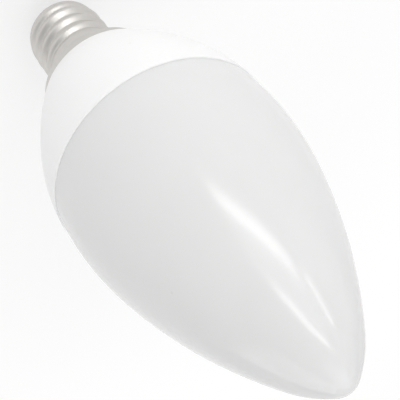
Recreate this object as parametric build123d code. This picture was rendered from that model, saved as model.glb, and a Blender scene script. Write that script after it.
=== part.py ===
"""Candle-shaped lamp with a small Edison screw cap.

Everything is turned about the Z axis. Heights are measured up from the end of the centre
contact, so the lamp stands on its contact with its tip at the top. Sizes are in millimetres
and angles in degrees.
"""
import os
from math import cos, isclose, radians, sin

from build123d import *

# Diffuser: the milky candle above the rim, three arcs that run into each other and a round tip
rim_height = 47.5
diffuser_radius = 18.5
diffuser_lean = 4.13
belly_radius = 55.35
belly_angle = 16.05
side_radius = 85.1
side_angle = 19.7
nose_radius = 21.7
nose_angle = 18.5
diffuser_edge = 0.15

# Joint between the diffuser and the housing
rim_step = 0.2
rim_wall = 1.7
spigot_depth = 4.0
spigot_side_gap = 0.1
spigot_end_gap = 0.3
spigot_chamfer = 0.6

# Housing: the white bowl between the rim and the cap, two arcs from the rim down
bowl_lean = 2.69
bowl_shoulder_radius = 35.7
bowl_shoulder_angle = 13.4
back_edge_step = 0.1
back_edge = 0.15
rim_edge = 0.2

# Screw shell: thin rolled metal, plain at the thread's pitch line, with a bell-shaped skirt
shell_radius = 6.54
shell_end_height = 4.4
shell_wall = 0.4
shell_shoulder = 2.0
skirt_foot_height = 16.7
skirt_foot_radius = 6.8
bell_start_radius = 7.0
bell_end_radius = 10.35
bell_rise = 3.2
bell_rounding = 1.2
skirt_band = 2.4
skirt_top = 25.3
skirt_radius = 11.15
neck_gap = 0.05

# Insulator: the collar that closes the shell's end
collar_radius = 3.6
collar_gap = 0.05
collar_end_radius = 3.1
flange_thickness = 1.8

# Centre contact: a button with a pin
contact_rise = 1.3
contact_radius = 2.5
contact_flat_radius = 1.5
pin_radius = 1.0
pin_gap = 0.03

# Sizes that follow from the ones above
rim_radius = diffuser_radius + rim_step
mouth_radius = rim_radius - rim_wall
spigot_radius = mouth_radius - spigot_side_gap
spigot_bottom = rim_height - spigot_depth
mouth_bottom = spigot_bottom - spigot_end_gap
back_edge_radius = skirt_radius + back_edge_step
bell_end = skirt_top - skirt_band
shell_floor = shell_end_height + shell_wall
flange_top = shell_floor + flange_thickness
tip_angle = 90 + diffuser_lean - belly_angle - side_angle - nose_angle


def turned(*outline):
    """Solid of revolution from a closed outline drawn as (radius, height)."""
    return revolve(Plane.XZ * make_face(Curve() + list(outline)), axis=Axis.Z)


def ring_edges(solid, radius, height):
    """Circular edges of the solid with this radius at this height."""
    rings = solid.edges().filter_by(GeomType.CIRCLE)
    return [e for e in rings if isclose(e.radius, radius, abs_tol=1e-4)
            and isclose(e.arc_center.Z, height, abs_tol=1e-4)]


def candle_arcs():
    """Outline of the candle from the rim to its tip; the last arc is centred on the axis."""
    lean = radians(diffuser_lean)
    belly = JernArc((diffuser_radius, rim_height), (sin(lean), cos(lean)), belly_radius, belly_angle)
    side = JernArc(belly @ 1, belly % 1, side_radius, side_angle)
    nose = JernArc(side @ 1, side % 1, nose_radius, nose_angle)
    tip_radius = (nose @ 1).X / sin(radians(tip_angle))
    tip = JernArc(nose @ 1, nose % 1, tip_radius, tip_angle)
    return belly, side, nose, tip


def shell_corners(start, inset):
    """Corners of the shell's side from a height up to its lip, moved inwards by a distance."""
    corners = [
        (shell_radius, start),
        (skirt_foot_radius, skirt_foot_height),
        (bell_start_radius, bell_end - bell_rise),
        (bell_end_radius, bell_end),
        (skirt_radius, skirt_top),
    ]
    return [(radius - inset, height) for radius, height in corners]


def shoulder_arc(inset):
    """Quarter round between the shell's end and its side, moved inwards by a distance."""
    centre = (shell_radius - shell_shoulder, shell_end_height + shell_shoulder)
    return CenterArc(centre, shell_shoulder - inset, -90, 90)


def make_diffuser():
    """Candle-shaped cover with the spigot that sits in the housing's mouth."""
    candle = candle_arcs()
    spigot = Polyline(
        candle[-1] @ 1,
        (0, spigot_bottom),
        (spigot_radius - spigot_chamfer, spigot_bottom),
        (spigot_radius, spigot_bottom + spigot_chamfer),
        (spigot_radius, rim_height),
        (diffuser_radius, rim_height),
    )
    cover = turned(*candle, spigot)
    return chamfer(ring_edges(cover, diffuser_radius, rim_height), diffuser_edge)


def make_housing():
    """White bowl with a mouth for the spigot and a neck that fills the screw shell."""
    lean = radians(bowl_lean)
    shoulder = JernArc(
        (rim_radius, rim_height), (-sin(lean), -cos(lean)), bowl_shoulder_radius, -bowl_shoulder_angle
    )
    bowl = TangentArc(shoulder @ 1, (back_edge_radius, skirt_top), tangent=shoulder % 1)
    neck = Polyline(*shell_corners(flange_top, shell_wall + neck_gap), bowl @ 1)
    mouth = Polyline(
        neck @ 0,
        (0, flange_top),
        (0, mouth_bottom),
        (mouth_radius, mouth_bottom),
        (mouth_radius, rim_height),
        (rim_radius, rim_height),
    )
    body = turned(shoulder, bowl, neck, mouth)
    body = chamfer(ring_edges(body, rim_radius, rim_height), rim_edge)
    return chamfer(ring_edges(body, back_edge_radius, skirt_top), back_edge)


def make_screw_shell():
    """Thin shell with a rounded end, a hole for the insulator and a bell-shaped skirt."""
    shoulder = shoulder_arc(0)
    side = FilletPolyline(*shell_corners((shoulder @ 1).Y, 0), radius=bell_rounding)
    inner_shoulder = shoulder_arc(shell_wall)
    lining = Polyline(*shell_corners((inner_shoulder @ 1).Y, shell_wall))
    hole = collar_radius + collar_gap
    floor = Polyline(inner_shoulder @ 0, (hole, shell_floor), (hole, shell_end_height), shoulder @ 0)
    return turned(shoulder, side, Line(side @ 1, lining @ 1), lining, inner_shoulder, floor)


def make_insulator():
    """Collar with a tapered nose, held by a flange behind the shell's rounded end."""
    corner = shoulder_arc(shell_wall).moved(Pos(-neck_gap, 0, 0))
    outline = Polyline(
        corner @ 1,
        ((corner @ 1).X, flange_top),
        (pin_radius + pin_gap, flange_top),
        (pin_radius + pin_gap, contact_rise),
        (collar_end_radius, contact_rise),
        (collar_radius, shell_end_height),
        (collar_radius, shell_floor),
        corner @ 0,
    )
    return turned(outline, corner)


def make_centre_contact():
    """Button with a flat end and a rounded edge, on a pin through the insulator."""
    crown = Bezier(
        (contact_flat_radius, 0),
        (contact_radius, 0),
        (contact_radius, contact_rise),
    )
    stem = Polyline(
        (contact_radius, contact_rise),
        (pin_radius, contact_rise),
        (pin_radius, flange_top),
        (0, flange_top),
        (0, 0),
        (contact_flat_radius, 0),
    )
    return turned(crown, stem)


pieces = {
    "diffuser": make_diffuser(),
    "housing": make_housing(),
    "screw_shell": make_screw_shell(),
    "insulator": make_insulator(),
    "centre_contact": make_centre_contact(),
}

os.makedirs("parts", exist_ok=True)
for name, piece in pieces.items():
    export_step(piece, f"parts/{name}.step")
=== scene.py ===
"""Candle-shaped lamp: looks, light and camera. Sizes are in millimetres unless a name says otherwise."""
from math import atan2, copysign, cos, degrees, hypot, pi, radians, sin, tan

import bpy
from mathutils import Matrix, Vector


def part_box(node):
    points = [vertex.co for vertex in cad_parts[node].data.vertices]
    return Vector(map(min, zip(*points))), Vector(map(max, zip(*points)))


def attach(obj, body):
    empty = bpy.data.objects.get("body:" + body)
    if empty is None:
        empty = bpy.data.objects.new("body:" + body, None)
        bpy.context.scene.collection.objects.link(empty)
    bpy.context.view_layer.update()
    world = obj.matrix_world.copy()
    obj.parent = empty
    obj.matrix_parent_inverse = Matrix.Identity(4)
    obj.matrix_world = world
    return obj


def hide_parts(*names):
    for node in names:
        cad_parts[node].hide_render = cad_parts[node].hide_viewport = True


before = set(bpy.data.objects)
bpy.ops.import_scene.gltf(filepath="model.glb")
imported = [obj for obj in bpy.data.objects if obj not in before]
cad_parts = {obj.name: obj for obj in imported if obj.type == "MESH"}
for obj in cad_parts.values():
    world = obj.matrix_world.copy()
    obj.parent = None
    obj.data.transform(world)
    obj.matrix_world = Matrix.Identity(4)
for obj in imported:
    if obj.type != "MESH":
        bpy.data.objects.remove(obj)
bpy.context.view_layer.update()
mm = 0.001


# Sizes read from the frame
def reach(node):
    """Lowest height, highest height and largest radius of a CAD node."""
    low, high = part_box(node)
    return low.z / mm, high.z / mm, max(high.x, high.y) / mm


spigot_bottom, _, _ = reach("diffuser")
neck_bottom, rim_height, _ = reach("housing")
shell_end, skirt_top, skirt_radius = reach("screw_shell")
nose_end, flange_top, _ = reach("insulator")
contact_end, pin_top, contact_radius = reach("centre_contact")

# Diffuser: its arcs as radius and angle, from the rim up
diffuser_radius = 18.5
diffuser_lean = 4.13
candle_bends = [(55.35, 16.05), (85.1, 19.7), (21.7, 18.5)]
diffuser_edge = 0.04

# Joint between the diffuser and the housing
rim_step, rim_wall = 0.2, 1.7
spigot_side_gap, spigot_end_gap = 0.1, 0.3
spigot_chamfer = 0.6
rim_radius = diffuser_radius + rim_step
mouth_radius = rim_radius - rim_wall
spigot_radius = mouth_radius - spigot_side_gap
mouth_bottom = spigot_bottom - spigot_end_gap

# Housing: the first of its two arcs, from the rim down
bowl_lean = 2.69
bowl_shoulder = (35.7, -13.4)
rim_edge = 0.25
back_edge_step = 0.1
back_edge_radius = skirt_radius + back_edge_step
back_edge = 0.2

# Screw shell
shell_radius = 6.54
shell_wall = 0.4
shell_shoulder = 2.0
skirt_foot_height, skirt_foot_radius = 16.7, 6.8
bell_start_radius, bell_end_radius = 7.0, 10.35
bell_rise, skirt_band = 3.2, 2.4
bell_rounding = 1.2
lip_round = 0.08
neck_gap = 0.05

# Thread rolled into the shell
thread_pitch = 2.822
thread_crest_radius, thread_root_radius = 6.92, 6.2
thread_crest_height, thread_crest_angle = 7.32, 128.0
thread_start, thread_end = 6.2, 17.0
thread_run_in = 1.5

# Insulator and contact
collar_radius, collar_gap = 3.6, 0.05
collar_end_radius = 3.1
pin_radius, pin_gap = 1.0, 0.03
contact_flat_radius = 1.5

# Faint specks: place, size and the share of the size that is evenly dark
diffuser_speck, diffuser_speck_size = (9.84, 9.90, 74.95), 0.3
housing_speck, housing_speck_size = (15.71, -6.77, 38.49), 0.25
speck_core = 0.3

# How fine the turned surfaces are: steps round the axis, along the outline and in a bend's degrees
turned_segments = 160
thread_segments = 224
thread_step = 0.09
skirt_step = 0.3
collar_step = 0.4
hidden_step = 1.0
bend_step = 1.0
sharp_turn = radians(25)
same_place = 1e-6


# Outlines as (radius, height)
def bends(start, heading, *turns):
    """Points along arcs that run into each other, and the direction at their end.

    Each arc is a radius and an angle in degrees, to the left, or to the right below 0. A heading
    is an angle from the direction of growing radius.
    """
    path = [start]
    for radius, turn in turns:
        side = copysign(radius, turn)
        centre = (path[-1][0] - side * sin(heading), path[-1][1] + side * cos(heading))
        count = max(3, round(abs(turn) / bend_step))
        for step in range(1, count + 1):
            ahead = heading + radians(turn) * step / count
            path.append((centre[0] + side * sin(ahead), centre[1] - side * cos(ahead)))
        heading += radians(turn)
    return path, heading


def bend_to(start, heading, end):
    """Radius and angle of the arc that leaves a point in a direction and ends at another point."""
    across, rise = end[0] - start[0], end[1] - start[1]
    swing = (atan2(rise, across) - heading + pi) % (2 * pi) - pi
    return hypot(across, rise) / (2 * sin(abs(swing))), degrees(2 * swing)


def round_corner(corner, radius, start, end, count=6):
    """Points of a circle between two angles in degrees, set into a corner of a box."""
    middle = radians((start + end) / 2)
    centre = (corner[0] - copysign(radius, cos(middle)), corner[1] - copysign(radius, sin(middle)))
    angles = [radians(start + (end - start) * step / count) for step in range(count + 1)]
    return [(centre[0] + radius * cos(a), centre[1] + radius * sin(a)) for a in angles]


def straight(start, end, step):
    """Points from start to end, about a step apart."""
    count = max(1, round(hypot(end[0] - start[0], end[1] - start[1]) / step))
    shares = [number / count for number in range(count + 1)]
    return [tuple(a + (b - a) * share for a, b in zip(start, end)) for share in shares]


def soft_corner(start, corner, end, count=8):
    """Points along a curve that leaves start and reaches end in line with the corner."""
    path = []
    for step in range(count + 1):
        share = step / count
        first, second, third = (1 - share) ** 2, 2 * share * (1 - share), share ** 2
        path.append(tuple(first * a + second * b + third * c for a, b, c in zip(start, corner, end)))
    return path


def rounded(points, radius):
    """Straight lines through these points, with rounded corners."""
    path = [points[0]]
    for before, corner, after in zip(points, points[1:], points[2:]):
        inward = Vector(corner) - Vector(before)
        onward = Vector(after) - Vector(corner)
        cut = radius * tan(inward.angle(onward) / 2)
        start = Vector(corner) - inward.normalized() * cut
        end = Vector(corner) + onward.normalized() * cut
        path += soft_corner(start, corner, end)
    return path + [points[-1]]


def joined(*stretches):
    """One outline from several, without the points that meet."""
    outline = []
    for stretch in stretches:
        for point in stretch:
            if not outline or hypot(point[0] - outline[-1][0], point[1] - outline[-1][1]) > same_place:
                outline.append(point)
    return outline


# Turned meshes
def turned_rows(outline, segments, swell):
    """Points of a turned mesh, and for each point of the outline the numbers of its points."""
    verts, rows = [], []
    for radius, height in outline:
        row = []
        for step in range(1 if radius < same_place else segments):
            angle = 2 * pi * step / segments
            swollen = swell(radius, height, angle) if swell else radius
            row.append(len(verts))
            verts.append((swollen * cos(angle) * mm, swollen * sin(angle) * mm, height * mm))
        rows.append(row)
    return verts, rows


def turned_faces(rows, segments, ring):
    """Faces between neighbouring rows, and from the last row to the first in a closed ring."""
    faces = []
    for low, high in zip(rows, rows[1:] + rows[:1] if ring else rows[1:]):
        for here in range(segments):
            beside = (here + 1) % segments
            if len(low) == 1:
                faces.append((low[0], high[beside], high[here]))
            elif len(high) == 1:
                faces.append((low[here], low[beside], high[0]))
            else:
                faces.append((low[here], low[beside], high[beside], high[here]))
    return faces


def mark_creases(mesh, outline, rows):
    """Keeps the edges sharp where the outline has a corner."""
    corners = set()
    for before, here, after, row in zip(outline[-1:] + outline, outline, outline[1:] + outline[:1], rows):
        arriving = atan2(here[1] - before[1], here[0] - before[0])
        leaving = atan2(after[1] - here[1], after[0] - here[0])
        if len(row) > 1 and abs((leaving - arriving + pi) % (2 * pi) - pi) > sharp_turn:
            corners.update(row)
    row_of = {point: number for number, row in enumerate(rows) for point in row}
    creases = []
    for edge in mesh.edges:
        first, second = edge.vertices
        creases.append(row_of[first] == row_of[second] and first in corners)
    mesh.attributes.new("sharp_edge", "BOOLEAN", "EDGE").data.foreach_set("value", creases)


def turned(name, outline, segments=turned_segments, swell=None):
    """Piece turned from an outline about the lamp's axis.

    An outline that keeps off the axis is a closed ring. swell(radius, height, angle) gives the
    radius at an angle, where the piece isn't round.
    """
    verts, rows = turned_rows(outline, segments, swell)
    faces = turned_faces(rows, segments, ring=len(rows[0]) > 1)
    mesh = bpy.data.meshes.new(name)
    mesh.from_pydata(verts, [], faces)
    mesh.polygons.foreach_set("use_smooth", [True] * len(faces))
    mark_creases(mesh, outline, rows)
    piece = bpy.data.objects.new(name, mesh)
    bpy.context.scene.collection.objects.link(piece)
    return piece


def dress(piece, node, material):
    """Puts a piece in a CAD node's place, in its finish."""
    piece.data.materials.append(material)
    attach(piece, "root")
    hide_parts(node)


# Shader maths as sums
class Signal:
    """A node's output that can be used in sums; each sum adds its own node."""

    def __init__(self, finish, socket):
        self.finish = finish
        self.socket = socket

    def beside(self, output):
        """Another output of the same node."""
        return Signal(self.finish, self.socket.node.outputs[output])

    def __add__(self, other):
        return self.finish.math("ADD", self, other)

    def __sub__(self, other):
        return self.finish.math("SUBTRACT", self, other)

    def __rsub__(self, other):
        return self.finish.math("SUBTRACT", other, self)

    def __mul__(self, other):
        return self.finish.math("MULTIPLY", self, other)

    def __truediv__(self, other):
        return self.finish.math("DIVIDE", self, other)

    def __rtruediv__(self, other):
        return self.finish.math("DIVIDE", other, self)

    def __pow__(self, other):
        return self.finish.math("POWER", self, other)

    def __rpow__(self, other):
        return self.finish.math("POWER", other, self)

    __radd__ = __add__
    __rmul__ = __mul__


class Finish:
    """The nodes of a material or of the surroundings."""

    def __init__(self, holder):
        holder.use_nodes = True
        self.holder = holder
        self.tree = holder.node_tree
        self.tree.nodes.clear()

    def node(self, kind, settings=None, sockets=None, output=0):
        """Adds a node: its settings, then the values or links of its sockets. Gives one output."""
        made = self.tree.nodes.new(kind)
        for key, value in (settings or {}).items():
            setattr(made, key, value)
        for key, value in (sockets or {}).items():
            if isinstance(value, Signal):
                self.tree.links.new(value.socket, made.inputs[key])
            else:
                made.inputs[key].default_value = value
        return Signal(self, made.outputs[output]) if made.outputs else None

    def math(self, operation, *values):
        """The result of a Math node on these values."""
        return self.node("ShaderNodeMath", {"operation": operation}, dict(enumerate(values)))

    def place(self):
        """Where a point of the piece is, in metres in the lamp's frame."""
        return self.node("ShaderNodeTexCoord", output="Object")

    def noise(self, place, scale, detail=2.0, roughness=0.5):
        """Cloudy pattern from 0 to 1, with this many clouds in a metre."""
        return self.node("ShaderNodeTexNoise", None,
                         {"Vector": place, "Scale": scale, "Detail": detail, "Roughness": roughness})

    def mix(self, factor, one, two):
        """Colour between two colours, which this node takes in its sockets 6 and 7."""
        return self.node("ShaderNodeMix", {"data_type": "RGBA"}, {0: factor, 6: one, 7: two}, output=2)

    def fade(self, value, low, high, start=0.0, end=1.0):
        """Soft change from start to end while a value goes from low to high."""
        return self.node("ShaderNodeMapRange", {"interpolation_type": "SMOOTHSTEP"}, {
            "Value": value, "From Min": low, "From Max": high, "To Min": start, "To Max": end})

    def distance(self, place, spot):
        """How far a place is from a spot given in millimetres, in metres."""
        return self.node("ShaderNodeVectorMath", {"operation": "DISTANCE"},
                         {0: place, 1: [v * mm for v in spot]}, output="Value")

    def speck(self, place, spot, size):
        """1 at a spot on the piece, falling to 0 at this distance in millimetres."""
        return self.fade(self.distance(place, spot), size * mm, speck_core * size * mm)

    def bump(self, height, strength, depth):
        """Normal of a surface with this height pattern, this many millimetres deep."""
        return self.node("ShaderNodeBump", None,
                         {"Strength": strength, "Distance": depth * mm, "Height": height})

    def surface(self, **sockets):
        """The main shader, with its sockets as the shader names them."""
        named = {key.replace("_", " "): value for key, value in sockets.items()}
        return self.node("ShaderNodeBsdfPrincipled", None, named)

    def seen(self):
        """1 for what the camera sees straight, in a gloss or through something clear, and 0 for light."""
        straight_on = self.node("ShaderNodeLightPath", output="Is Camera Ray")
        glossy = straight_on.beside("Is Glossy Ray")
        through = straight_on.beside("Is Transmission Ray")
        return self.math("MAXIMUM", straight_on, self.math("MAXIMUM", glossy, through))

    def done(self, shader, kind="ShaderNodeOutputMaterial"):
        """Sends the shader to the surface, and gives the finished material or surroundings."""
        self.node(kind, None, {"Surface": shader})
        return self.holder


def new_finish(name):
    """Nodes of a new material."""
    return Finish(bpy.data.materials.new(name))


def grey(value, warmth=0.0):
    """Nearly neutral colour; warmth moves it a little towards yellow, or blue below 0."""
    return (value * (1 + warmth), value, value * (1 - warmth), 1.0)


def milky_plastic():
    """Satin milky plastic: faint clouds in its colour, fine grain and a slow waviness."""
    finish = new_finish("milky_plastic")
    place = finish.place()
    clouds = finish.noise(place, scale=45.0, detail=3.0)
    grain = finish.noise(place, scale=5200.0)
    smears = finish.noise(place, scale=160.0, detail=4.0)
    colour = finish.mix(clouds, grey(0.76, 0.004), grey(0.78, -0.002))
    speck = finish.speck(place, diffuser_speck, diffuser_speck_size)
    colour = finish.mix(speck * 0.1, colour, grey(0.3, 0.1))
    return finish.done(finish.surface(
        Base_Color=colour,
        Roughness=0.15 + smears * 0.05,
        IOR=1.5,
        Subsurface_Weight=0.3,
        Subsurface_Radius=(1.0, 0.97, 0.92),
        Subsurface_Scale=1.5 * mm,
        Normal=finish.bump(grain * 0.3 + smears, strength=0.1, depth=0.03),
    ))


def white_plastic():
    """Smooth opaque white plastic with a slight moulded grain."""
    finish = new_finish("white_plastic")
    place = finish.place()
    clouds = finish.noise(place, scale=70.0)
    grain = finish.noise(place, scale=3800.0)
    colour = finish.mix(clouds, grey(0.915, 0.004), grey(0.93, 0.0))
    speck = finish.speck(place, housing_speck, housing_speck_size)
    colour = finish.mix(speck * 0.2, colour, grey(0.35, 0.1))
    return finish.done(finish.surface(
        Base_Color=colour,
        Roughness=0.3 + clouds * 0.06,
        IOR=1.49,
        Normal=finish.bump(grain, strength=0.08, depth=0.03),
    ))


def plated_metal():
    """Nickel plating with rolling marks round the axis, a little duller in the thread's valleys."""
    marks_across, marks_around = 9000.0, 1.5
    finish = new_finish("plated_metal")
    place = finish.place()
    across = finish.node("ShaderNodeSeparateXYZ", None, {"Vector": place})
    along, height = across.beside("Y"), across.beside("Z")
    angle = finish.math("ARCTAN2", along, across)
    climb = (height - thread_crest_height * mm) / (thread_pitch * mm)
    wave = (climb - angle / (2 * pi) + thread_crest_angle / 360) * (2 * pi)
    valley = 0.5 - 0.5 * finish.math("COSINE", wave)
    radius = (across * across + along * along) ** 0.5
    rings = finish.node("ShaderNodeCombineXYZ", None, {
        "X": height * marks_across, "Y": radius * marks_across, "Z": angle * marks_around})
    marks = finish.noise(rings, scale=1.0, detail=3.0, roughness=0.6)
    stains = finish.noise(place, scale=420.0, detail=4.0, roughness=0.6)
    colour = finish.mix(stains, (0.60, 0.58, 0.555, 1.0), (0.68, 0.665, 0.64, 1.0))
    return finish.done(finish.surface(
        Base_Color=colour,
        Metallic=1.0,
        Roughness=0.36 + marks * 0.06 + stains * 0.06 + valley * 0.03,
        Normal=finish.bump(marks, strength=0.1, depth=0.02),
    ))


def dark_plastic():
    """Black thermoset with a dull moulded grain."""
    finish = new_finish("dark_plastic")
    place = finish.place()
    clouds = finish.noise(place, scale=600.0, detail=3.0)
    grain = finish.noise(place, scale=4000.0)
    return finish.done(finish.surface(
        Base_Color=finish.mix(clouds, grey(0.018), grey(0.035, 0.03)),
        Roughness=0.42 + clouds * 0.12,
        Normal=finish.bump(grain, strength=0.15, depth=0.03),
    ))


# The pieces
def make_diffuser():
    """Candle-shaped cover with its spigot."""
    tip_angle = 90 + diffuser_lean - sum(turn for _, turn in candle_bends)
    side, heading = bends((diffuser_radius, rim_height), radians(90 - diffuser_lean), *candle_bends)
    tip, _ = bends(side[-1], heading, (side[-1][0] / sin(radians(tip_angle)), tip_angle))
    candle = [point for point in side if point[1] > rim_height + 2 * diffuser_edge] + tip[:-1]
    chamfer_top = spigot_bottom + spigot_chamfer
    outline = joined(
        [(0.0, spigot_bottom), (spigot_radius - spigot_chamfer, spigot_bottom)],
        straight((spigot_radius, chamfer_top), (spigot_radius, rim_height), hidden_step),
        round_corner((diffuser_radius, rim_height), diffuser_edge, -90, 0),
        candle,
        [(0.0, tip[-1][1])],
    )
    return turned("milky_cover", outline)


def make_housing():
    """White bowl with its mouth and its neck."""
    lip = (back_edge_radius, skirt_top)
    shoulder, heading = bends((rim_radius, rim_height), radians(270 - bowl_lean), bowl_shoulder)
    lower, _ = bends(shoulder[-1], heading, bend_to(shoulder[-1], heading, lip))
    bowl = joined(shoulder, lower)[::-1]
    wall_bottom, wall_top = skirt_top + 2 * back_edge, rim_height - 2 * rim_edge
    wall = [point for point in bowl if wall_bottom < point[1] < wall_top]
    outline = joined(
        [(0.0, neck_bottom)],
        shell_side(neck_bottom, shell_wall + neck_gap),
        soft_corner((lip[0] - back_edge, lip[1]), lip, wall[0]),
        wall,
        round_corner((rim_radius, rim_height), rim_edge, 0, 90),
        straight((mouth_radius, rim_height), (mouth_radius, mouth_bottom), hidden_step),
        [(0.0, mouth_bottom)],
    )
    return turned("white_bowl", outline)


def shell_side(start, inset):
    """Side of the shell from a height up to its lip, without the thread, moved inwards by a distance."""
    bell_end = skirt_top - skirt_band
    corners = [
        (shell_radius, start),
        (skirt_foot_radius, skirt_foot_height),
        (bell_start_radius, bell_end - bell_rise),
        (bell_end_radius, bell_end),
        (skirt_radius, skirt_top),
    ]
    return rounded([(radius - inset, height) for radius, height in corners], bell_rounding)


def soft_step(low, high, value):
    """0 below low, 1 above high and a soft step between them."""
    share = min(1.0, max(0.0, (value - low) / (high - low)))
    return share * share * (3 - 2 * share)


def thread_swell(radius, height, angle):
    """Radius of the shell with its rolled right-hand thread."""
    lining = radius < shell_radius - shell_wall / 4
    if lining:
        return radius
    run_in = soft_step(thread_start, thread_start + thread_run_in, height)
    run_out = 1 - soft_step(thread_end - thread_run_in, thread_end, height)
    climb = (height - thread_crest_height) / thread_pitch
    turn = climb - (angle - radians(thread_crest_angle)) / (2 * pi)
    middle = (thread_crest_radius + thread_root_radius) / 2
    depth = (thread_crest_radius - thread_root_radius) / 2
    share = run_in * run_out
    return radius * (1 - share) + (middle + depth * cos(2 * pi * turn)) * share


def make_screw_shell():
    """Rolled shell with its thread and its bell-shaped skirt."""
    hole = collar_radius + collar_gap
    floor = shell_end + shell_wall
    shoulder_top = shell_end + shell_shoulder
    outside = shell_side(shoulder_top, 0.0)
    lining = shell_side(shoulder_top, shell_wall)
    floor_round = round_corner((shell_radius - shell_wall, floor), shell_shoulder - shell_wall, -90, 0)
    outline = joined(
        [(hole, floor), (hole, shell_end)],
        round_corner((shell_radius, shell_end), shell_shoulder, -90, 0, count=20),
        straight(outside[0], outside[1], thread_step),
        *[straight(start, end, skirt_step) for start, end in zip(outside[1:-1], outside[2:-1])],
        straight(outside[-2], (skirt_radius, skirt_top - lip_round), skirt_step),
        round_corner((skirt_radius, skirt_top), lip_round, 0, 90),
        lining[::-1],
        floor_round[::-1],
    )
    return turned("threaded_shell", outline, thread_segments, thread_swell)


def make_insulator():
    """Collar with a tapered nose and a flange inside the shell."""
    floor = shell_end + shell_wall
    flange_radius = shell_radius - shell_wall - neck_gap
    corner = round_corner((flange_radius, floor), shell_shoulder - shell_wall, -90, 0)
    bore = pin_radius + pin_gap
    outline = joined(
        straight((bore, flange_top), (bore, nose_end), hidden_step),
        straight((collar_end_radius, nose_end), (collar_radius, shell_end), collar_step),
        [(collar_radius, floor)],
        corner,
        [(corner[-1][0], flange_top)],
    )
    return turned("end_collar", outline)


def make_centre_contact():
    """Button with a flat end, on its pin."""
    edge = (contact_radius, contact_end)
    outline = joined(
        [(0.0, contact_end)],
        soft_corner((contact_flat_radius, contact_end), edge, (contact_radius, nose_end), count=12),
        straight((pin_radius, nose_end), (pin_radius, pin_top), hidden_step),
        [(0.0, pin_top)],
    )
    return turned("contact_button", outline)


metal = plated_metal()
dress(make_diffuser(), "diffuser", milky_plastic())
dress(make_housing(), "housing", white_plastic())
dress(make_screw_shell(), "screw_shell", metal)
dress(make_insulator(), "insulator", dark_plastic())
dress(make_centre_contact(), "centre_contact", metal)

# Camera: near the tip, turned so that the tip points to the lower right
view_distance = 145.0
view_angle = radians(46.94)
aim_side, aim_tilt, roll = radians(-0.197), radians(-40.04), radians(141.27)
focal_pixels, picture_pixels = 935.8, 400
sensor_width = 36.0
nearest_seen = 5.0


def view_axes():
    """Right, up and back directions of the camera."""
    forward = Vector((-cos(aim_tilt) * cos(aim_side), cos(aim_tilt) * sin(aim_side), sin(aim_tilt)))
    level = forward.cross(Vector((0, 0, 1))).normalized()
    upright = level.cross(forward)
    right = cos(roll) * level + sin(roll) * upright
    up = -sin(roll) * level + cos(roll) * upright
    return right, up, -forward


right, up, back = view_axes()
rim_centre = Vector((0, 0, rim_height * mm))
camera = bpy.data.objects.new("camera", bpy.data.cameras.new("camera"))
bpy.context.scene.collection.objects.link(camera)
eye = rim_centre + Vector((sin(view_angle), 0, cos(view_angle))) * view_distance * mm
camera.matrix_world = Matrix.Translation(eye) @ Matrix((right, up, back)).transposed().to_4x4()
camera.data.sensor_width = sensor_width
camera.data.lens = focal_pixels / picture_pixels * sensor_width
camera.data.clip_start = nearest_seen * mm
bpy.context.scene.camera = camera

# Light: each direction is given as seen from the camera, to the right, up and back towards it
aim_above_rim = 15.0
lamp_middle = rim_centre + Vector((0, 0, aim_above_rim * mm))
far_off, close_by = 900.0, 400.0


def soft_light(name, sight, distance, width, height, radiance, turn=0.0):
    """Soft rectangular light that faces the lamp, with its width along the picture's width.

    A turn in degrees leans it in its own plane.
    """
    data = bpy.data.lights.new(name, "AREA")
    data.shape = "RECTANGLE"
    data.size, data.size_y = width * mm, height * mm
    data.energy = radiance * pi * width * mm * height * mm
    light = bpy.data.objects.new(name, data)
    bpy.context.scene.collection.objects.link(light)
    towards = (right * sight[0] + up * sight[1] + back * sight[2]).normalized()
    side = (right - towards * right.dot(towards)).normalized()
    facing = Matrix((side, towards.cross(side), towards)).transposed()
    axes = facing @ Matrix.Rotation(radians(turn), 3, "Z")
    light.matrix_world = Matrix.Translation(lamp_middle + towards * distance * mm) @ axes.to_4x4()
    light.visible_camera = False


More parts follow.
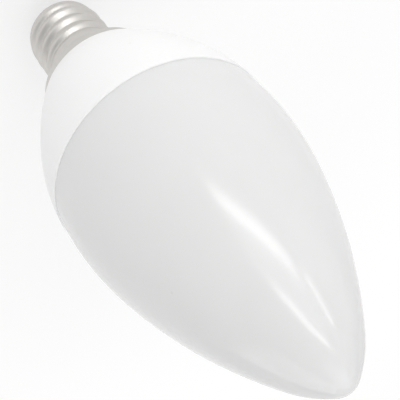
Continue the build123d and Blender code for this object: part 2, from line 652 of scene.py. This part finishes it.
soft_light("overhead", (0.479, -0.597, 0.643), far_off, 900.0, 900.0, radiance=1.05)
soft_light("left_side", (-0.3, -0.85, 0.25), far_off, 800.0, 800.0, radiance=1.12)
soft_light("right_side", (0.85, 0.35, 0.35), far_off, 1000.0, 1400.0, radiance=0.2)
soft_light("rear_side", (0.6, -0.754, -0.26), far_off, 1000.0, 1000.0, radiance=0.38)
soft_light("front_panel", (0.165, 0.44, 0.883), close_by, 300.0, 190.0, radiance=1.0, turn=-14)
soft_light("streak_high", (0.095, 0.66, 0.745), close_by, 270.0, 60.0, radiance=4.9, turn=-8)
soft_light("streak_low", (0.215, 0.197, 0.957), close_by, 250.0, 45.0, radiance=5.0, turn=-19)
soft_light("streak_side", (0.635, 0.475, 0.61), close_by, 110.0, 30.0, radiance=5.8, turn=-24)

# Surroundings and floor
room_level = 0.38
floor_whiteness = 0.6
shadow_reach, white_reach = 30.0, 150.0
backdrop_grey = 0.82
backdrop_start, backdrop_end = 170.0, 600.0
floor_height = -0.2
wall_radius, wall_round, wall_height = 3000.0, 500.0, 780.0


def make_surroundings():
    """Even light from all round."""
    finish = Finish(bpy.data.worlds.new("surroundings"))
    shader = finish.node("ShaderNodeBackground", None, {"Color": grey(1.0), "Strength": room_level})
    bpy.context.scene.world = finish.done(shader, "ShaderNodeOutputWorld")


def pale_floor():
    """Pale finish that takes a shadow near the lamp, is white round it and light grey far off."""
    finish = new_finish("pale_floor")
    place = finish.place()
    clouds = finish.noise(place, scale=3.0)
    pale = finish.surface(
        Base_Color=finish.mix(clouds, grey(0.95), grey(0.97)), Roughness=0.9, Specular_IOR_Level=0.1)
    distance = finish.distance(place, (0, 0, 0))
    far = finish.fade(distance, backdrop_start * mm, backdrop_end * mm)
    colour = finish.mix(far, grey(1.0), grey(backdrop_grey))
    bright = finish.node("ShaderNodeEmission", None, {"Color": colour, "Strength": 1.0})
    share = finish.fade(distance, shadow_reach * mm, white_reach * mm, floor_whiteness)
    shader = finish.node("ShaderNodeMixShader", None, {0: share * finish.seen(), 1: pale, 2: bright})
    return finish.done(shader)


def make_floor():
    """Round floor that curves up into a low wall."""
    outline = joined(
        [(0.0, floor_height)],
        round_corner((wall_radius, floor_height), wall_round, -90, 0, count=12),
        [(wall_radius, wall_height)],
    )
    floor = turned("floor", outline)
    floor.data.materials.append(pale_floor())


make_surroundings()
make_floor()
bpy.context.scene.view_settings.view_transform = "Standard"
